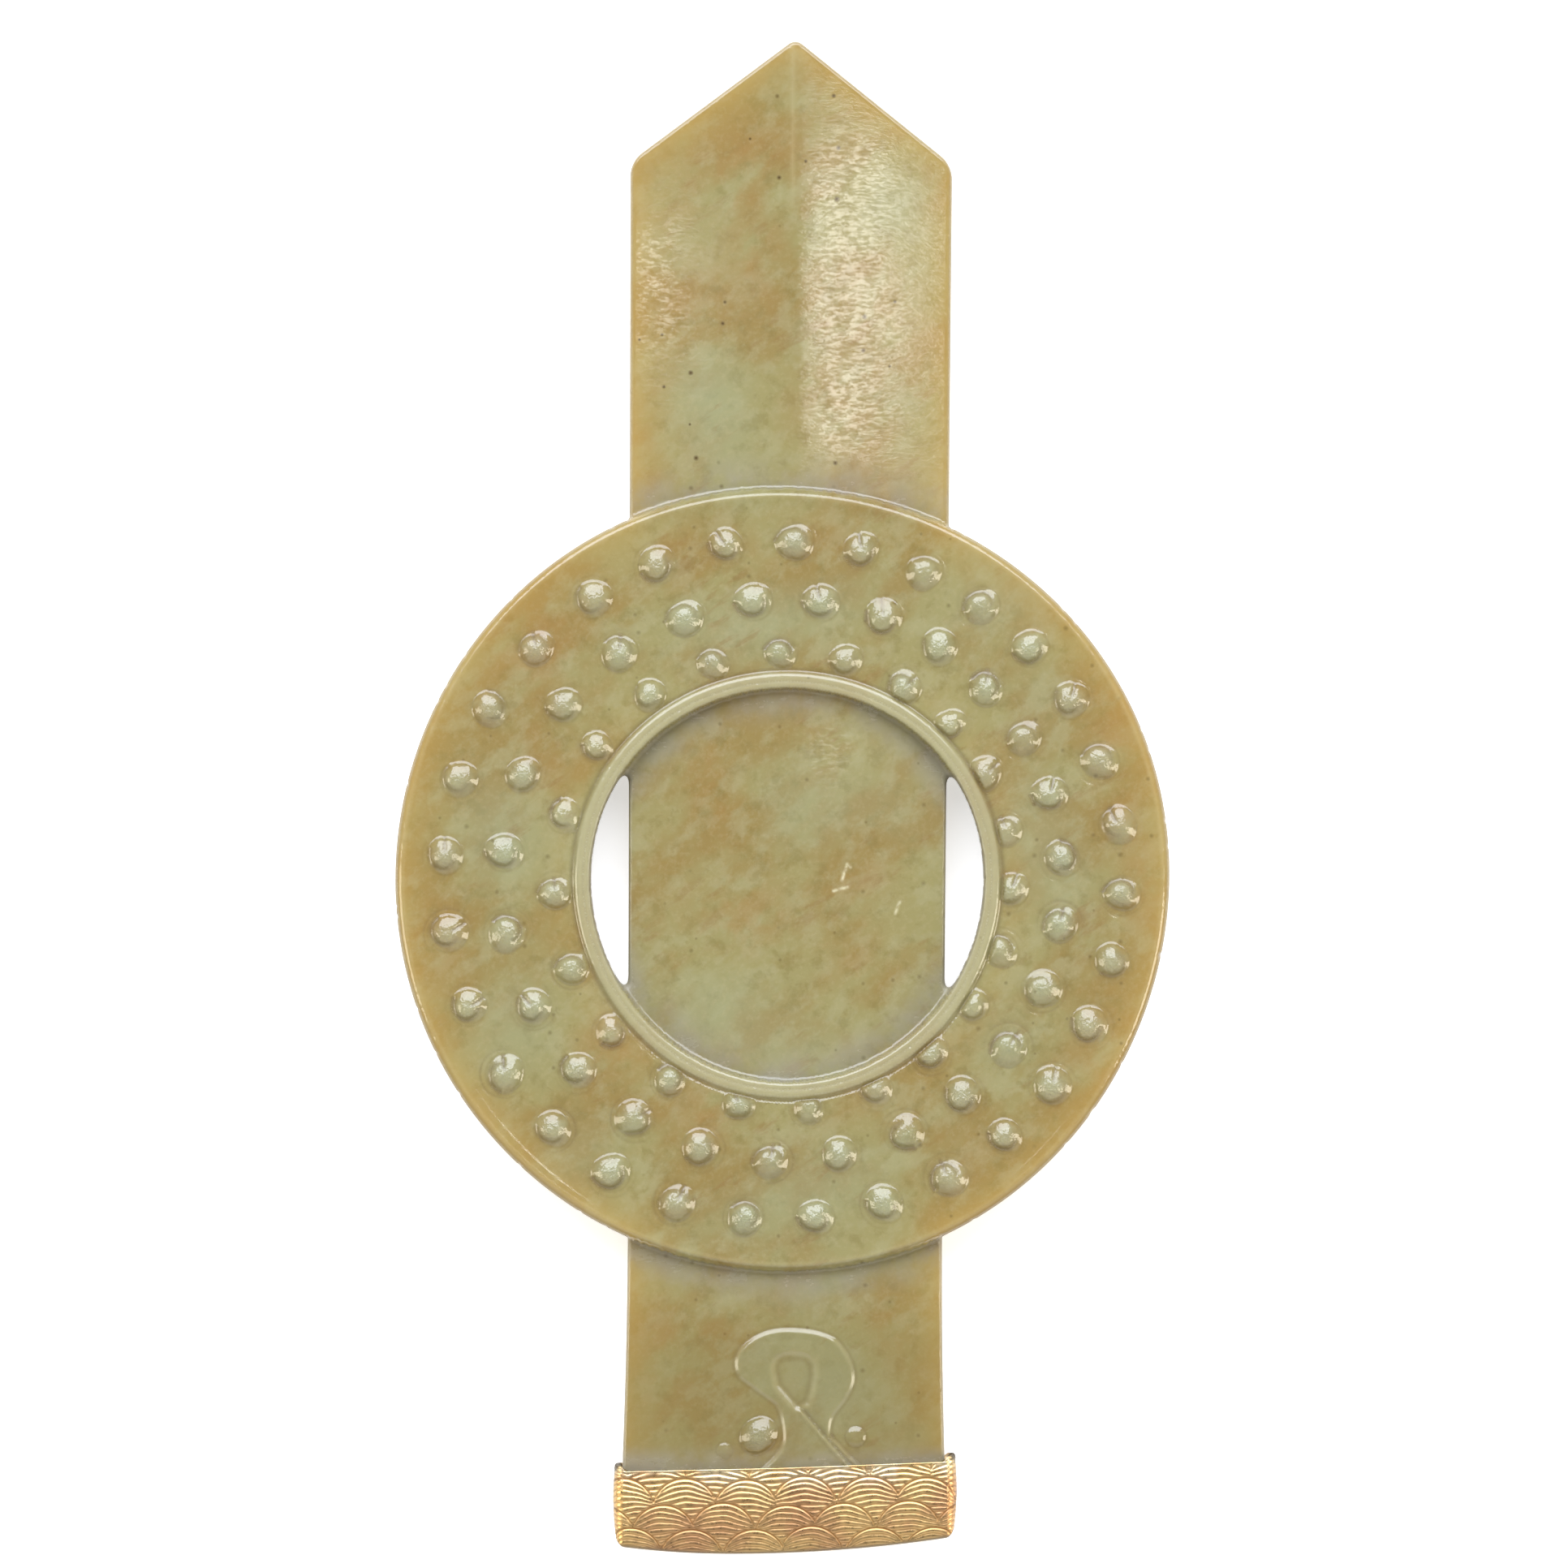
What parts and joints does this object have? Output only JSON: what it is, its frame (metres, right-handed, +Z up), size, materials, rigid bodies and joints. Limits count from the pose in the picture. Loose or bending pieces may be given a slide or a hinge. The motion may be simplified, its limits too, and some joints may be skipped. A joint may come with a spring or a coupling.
{
  "type": "jade gui-bi disc",
  "caption": "Carved jade bi disc with comma bosses over a pointed gui tablet, one stone, with an engraved gilt cap on the tablet's lower end; it lies flat on its back.",
  "frame": {"origin": "under the middle of the object's overall outline, on the surface it lies on, at the disc's back rim", "axes": "+Z up out of the carved front as it lies on its back, +Y towards the tablet's point, +X to the right seen from above"},
  "size_m": [0.0896, 0.175, 0.0093],
  "materials": {
    "nephrite_jade": "polished olive-celadon nephrite with ochre and brown clouds, translucent at its thin edges",
    "gilt_metal": "gilt copper alloy, chased with wave scales, worn bright on the raised parts and dark in the lines"
  },
  "bodies": {
    "root": {"jade_gui_bi": "nephrite_jade", "gilt_end_cap": "gilt_metal"}
  },
  "joints": []
}
